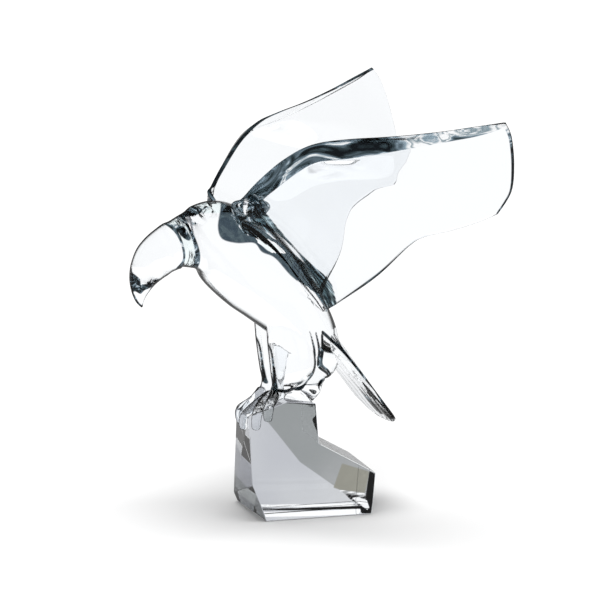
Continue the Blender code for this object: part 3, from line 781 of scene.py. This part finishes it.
def eagle_casting():
    """The bird's body and limbs as one casting, cut to the rock and marked for its material."""
    eagle = skin("eagle_casting", body_rings(BODY_SIDES, BODY_RINGS))
    marks = []
    limbs = [skin("tail_form", tail_rings(TAIL_SIDES, TAIL_STATIONS)),
             skin("rump_foot_form", level_rings(RUMP_FOOT, 1, FOOT_SIDES, FOOT_LEVELS))]
    for side, word in ((1, "left"), (-1, "right")):
        rings, rows = wing_rings(side, WING_ACROSS, WING_ALONG)
        limbs.append(skin(word + "_wing_form", rings))
        marks += [(point, mark) for ring, row in zip(rings, rows) for point, mark in zip(ring, row)]
        limbs.append(skin(word + "_leg_form", level_rings(LEG, side, LEG_SIDES, LEG_LEVELS)))
    for word, toes in (("near", NEAR_TOES), ("far", FAR_TOES)):
        for number, path in enumerate(toes, 1):
            rings = tube_rings(path, TOE_RADIUS, CLAW_RADIUS, TOE_SIDES, TOE_STATIONS)
            limbs.append(skin(f"{word}_toe_{number}_form", rings))
    group = bpy.data.collections.new("eagle_forms")
    for limb in limbs:
        group.objects.link(limb)
    join = eagle.modifiers.new("one casting", "BOOLEAN")
    join.operation = "UNION"
    join.solver = "EXACT"
    join.operand_type = "COLLECTION"
    join.collection = group
    seat = eagle.modifiers.new("seat on the rock", "BOOLEAN")
    seat.operation = "DIFFERENCE"
    seat.solver = "EXACT"
    seat.object = rock_seat()
    solid = bpy.data.meshes.new_from_object(eagle.evaluated_get(bpy.context.evaluated_depsgraph_get()))
    guides = limbs + [seat.object]
    eagle.modifiers.clear()
    eagle.data = solid
    solid.name = "eagle_casting"
    for item in guides:
        bpy.data.objects.remove(item)
    bpy.data.collections.remove(group)
    solid.shade_smooth()
    solid.set_sharp_from_angle(angle=SHARP_ANGLE)
    mark_casting(solid, marks)
    return eagle


def cut_rock():
    """The rock with polished arrises, gridded so that each facet can carry its painted reflections."""
    mesh = bpy.data.meshes.new("cut_rock")
    solid = bmesh.new()
    solid.from_mesh(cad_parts["rock_base"].data)
    bmesh.ops.remove_doubles(solid, verts=solid.verts, dist=WELD)
    bmesh.ops.dissolve_limit(solid, angle_limit=ROCK_FLAT_ANGLE, verts=solid.verts, edges=solid.edges)
    bmesh.ops.bevel(solid, geom=solid.edges[:], offset=ROCK_ARRIS * MM, segments=1, affect="EDGES")
    turn = Matrix.Rotation(-ROCK_TURN, 4, "Z") @ Matrix.Scale(1 / MM, 4)
    solid.transform(turn)
    bmesh.ops.triangulate(solid, faces=solid.faces)
    low = np.min([v.co for v in solid.verts], axis=0)
    high = np.max([v.co for v in solid.verts], axis=0)
    for axis in (0, 1, 2):
        normal = Vector([float(k == axis) for k in range(3)])
        pitch = ROCK_GRID * (ROCK_GRID_WIDER_IN_Y if axis == 1 else 1.0)
        for place in np.arange(low[axis] + pitch, high[axis], pitch):
            whole = solid.verts[:] + solid.edges[:] + solid.faces[:]
            bmesh.ops.bisect_plane(solid, geom=whole, dist=WELD, plane_co=normal * place, plane_no=normal)
    bmesh.ops.recalc_face_normals(solid, faces=solid.faces)
    corners = np.array([tuple(loop.vert.co) for face in solid.faces for loop in face.loops])
    facing = np.array([tuple(face.normal) for face in solid.faces for loop in face.loops])
    solid.transform(turn.inverted())
    solid.to_mesh(mesh)
    solid.free()
    mark_rock(mesh, corners, facing)
    return add_object("cut_rock", mesh)


def mark_rock(mesh, corners, facing):
    """Writes how deep each facet's corners lie in the painted grey, black and clear reflections of the studio.
    """
    side = corners[:, [0, 2]]
    height = corners[:, 2]
    near = facing[:, 1] < NEAR_FACING
    foot = (facing[:, 1] < FOOT_FACING) & ~near
    front = facing[:, 0] < FRONT_FACING
    tread = (facing[:, 2] > TREAD_FACING) & (corners[:, 0] > TREAD_START)
    hidden = (facing[:, 2] < UNDERSIDE_FACING) | (facing[:, 1] > FAR_FACING)
    # Painted highlights (gleam, clear lines) and painted dark reflections (wedge, corner, black lines)
    gleam = area_depth(side, ROCK_GLEAM)
    shut = most(area_depth(side, ROCK_WEDGE), area_depth(side, ROCK_CORNER),
                *(line_depth(side, line) for line in ROCK_BLACK_LINES))
    bright = most(gleam, *(line_depth(side, line) for line in ROCK_CLEAR_LINES))
    deep = np.where(near, area_depth(side, ROCK_DEEP), np.where(front, FRONT_DEEP_TOP - height, UNMARKED))
    olive = np.where(near, area_depth(side, ROCK_OLIVE), UNMARKED)
    black = np.where(near | foot, np.minimum(shut, -gleam), UNMARKED)
    clear = np.where(near | foot, bright, UNMARKED)
    clear = np.where(front, (height - FRONT_CLEAR_START) / FRONT_CLEAR_SPAN, clear)
    clear = np.where(tread | hidden, ALL_CLEAR, clear)
    store(mesh, "deep", deep, "CORNER")
    store(mesh, "olive", olive, "CORNER")
    store(mesh, "black", black, "CORNER")
    store(mesh, "clear", clear, "CORNER")


def camera():
    data = bpy.data.cameras.new("camera")
    data.lens = CAMERA_LENS
    data.sensor_width = CAMERA_SENSOR
    data.clip_end = 200.0
    item = bpy.data.objects.new("camera", data)
    bpy.context.scene.collection.objects.link(item)
    back = Vector((math.sin(CAMERA_AZIMUTH) * math.cos(CAMERA_ELEVATION),
                   -math.cos(CAMERA_AZIMUTH) * math.cos(CAMERA_ELEVATION), math.sin(CAMERA_ELEVATION)))
    item.location = CAMERA_TARGET + back * CAMERA_DISTANCE
    item.rotation_euler = back.to_track_quat("Z", "Y").to_euler()
    bpy.context.scene.camera = item


def by_ray(tree, scattered, to_camera, mirrored, through_crystal):
    """A brightness for each kind of ray, as black flags before a lamp would give."""
    ray = node(tree, "ShaderNodeLightPath")
    value = scattered
    for way, other in (("Is Camera Ray", to_camera), ("Is Glossy Ray", mirrored),
                       ("Is Transmission Ray", through_crystal)):
        value = node(tree, "ShaderNodeMix", {"data_type": "FLOAT"}, i0=ray.outputs[way], i2=value,
                     i3=other).outputs[0]
    return value


def studio():
    """A bright wall behind the bird, a dimmer one before it, and darkness at the sides and above."""
    world = bpy.data.worlds.new("studio")
    bpy.context.scene.world = world
    world.use_nodes = True
    tree = world.node_tree
    tree.nodes.clear()
    spot = node(tree, "ShaderNodeTexCoord")
    away = (-math.sin(CAMERA_AZIMUTH), math.cos(CAMERA_AZIMUTH), 0.0)
    facing = node(tree, "ShaderNodeVectorMath", {"operation": "DOT_PRODUCT"}, i0=spot.outputs["Generated"],
                  i1=away).outputs["Value"]
    back = step(tree, facing, WALL_START, WALL_FULL, DARK, BACK_WALL)
    front = step(tree, facing, -WALL_START, -WALL_FULL, 0.0, FRONT_WALL)
    walls = node(tree, "ShaderNodeMath", {"operation": "ADD"}, i0=back, i1=front).outputs[0]
    light = node(tree, "ShaderNodeBackground", Strength=by_ray(tree, AMBIENT, BACKDROP, GLOSS, walls))
    out = node(tree, "ShaderNodeOutputWorld")
    tree.links.new(light.outputs[0], out.inputs["Surface"])


def lit_table():
    """An opal acrylic table lit from below, which the crystal sees brighter than the camera does."""
    mesh = bpy.data.meshes.new("table")
    corners = [(x * TABLE_REACH, y * TABLE_REACH, TABLE_TOP) for x, y in ((-1, -1), (1, -1), (1, 1), (-1, 1))]
    mesh.from_pydata(corners, [], [(0, 1, 2, 3)])
    item = add_object("table", mesh)
    material, tree = material_tree("opal_acrylic")
    white = by_ray(tree, TABLE_WHITE, TABLE_WHITE, TABLE_MIRRORED, 0.0)
    glow = by_ray(tree, 0.0, TABLE_SEEN, GLOSS, TABLE_GLOW)
    shader = node(tree, "ShaderNodeBsdfPrincipled", Base_Color=white, Roughness=TABLE_ROUGHNESS,
                  Specular_IOR_Level=0.0, Emission_Color=(1.0, 1.0, 1.0, 1.0), Emission_Strength=glow)
    out = node(tree, "ShaderNodeOutputMaterial")
    tree.links.new(shader.outputs[0], out.inputs["Surface"])
    mesh.materials.append(material)


def overhead_light():
    """A wide soft lamp that lights the table evenly, hidden from mirror rays and rays through the crystal."""
    data = bpy.data.lights.new("overhead", "SUN")
    data.energy = OVERHEAD_STRENGTH
    data.angle = OVERHEAD_SPREAD
    item = bpy.data.objects.new("overhead", data)
    item.location = (0.0, 0.0, OVERHEAD_HEIGHT)
    item.visible_glossy = False
    item.visible_transmission = False
    bpy.context.scene.collection.objects.link(item)


bpy.context.scene.view_settings.view_transform = "Standard"
camera()
studio()
lit_table()
overhead_light()

casting = eagle_casting()
casting.data.materials.clear()
casting.data.materials.append(fire_polished_crystal())
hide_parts("eagle")
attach(casting, "root")

rock = cut_rock()
rock.data.materials.append(cut_crystal())
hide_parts("rock_base")
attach(rock, "root")
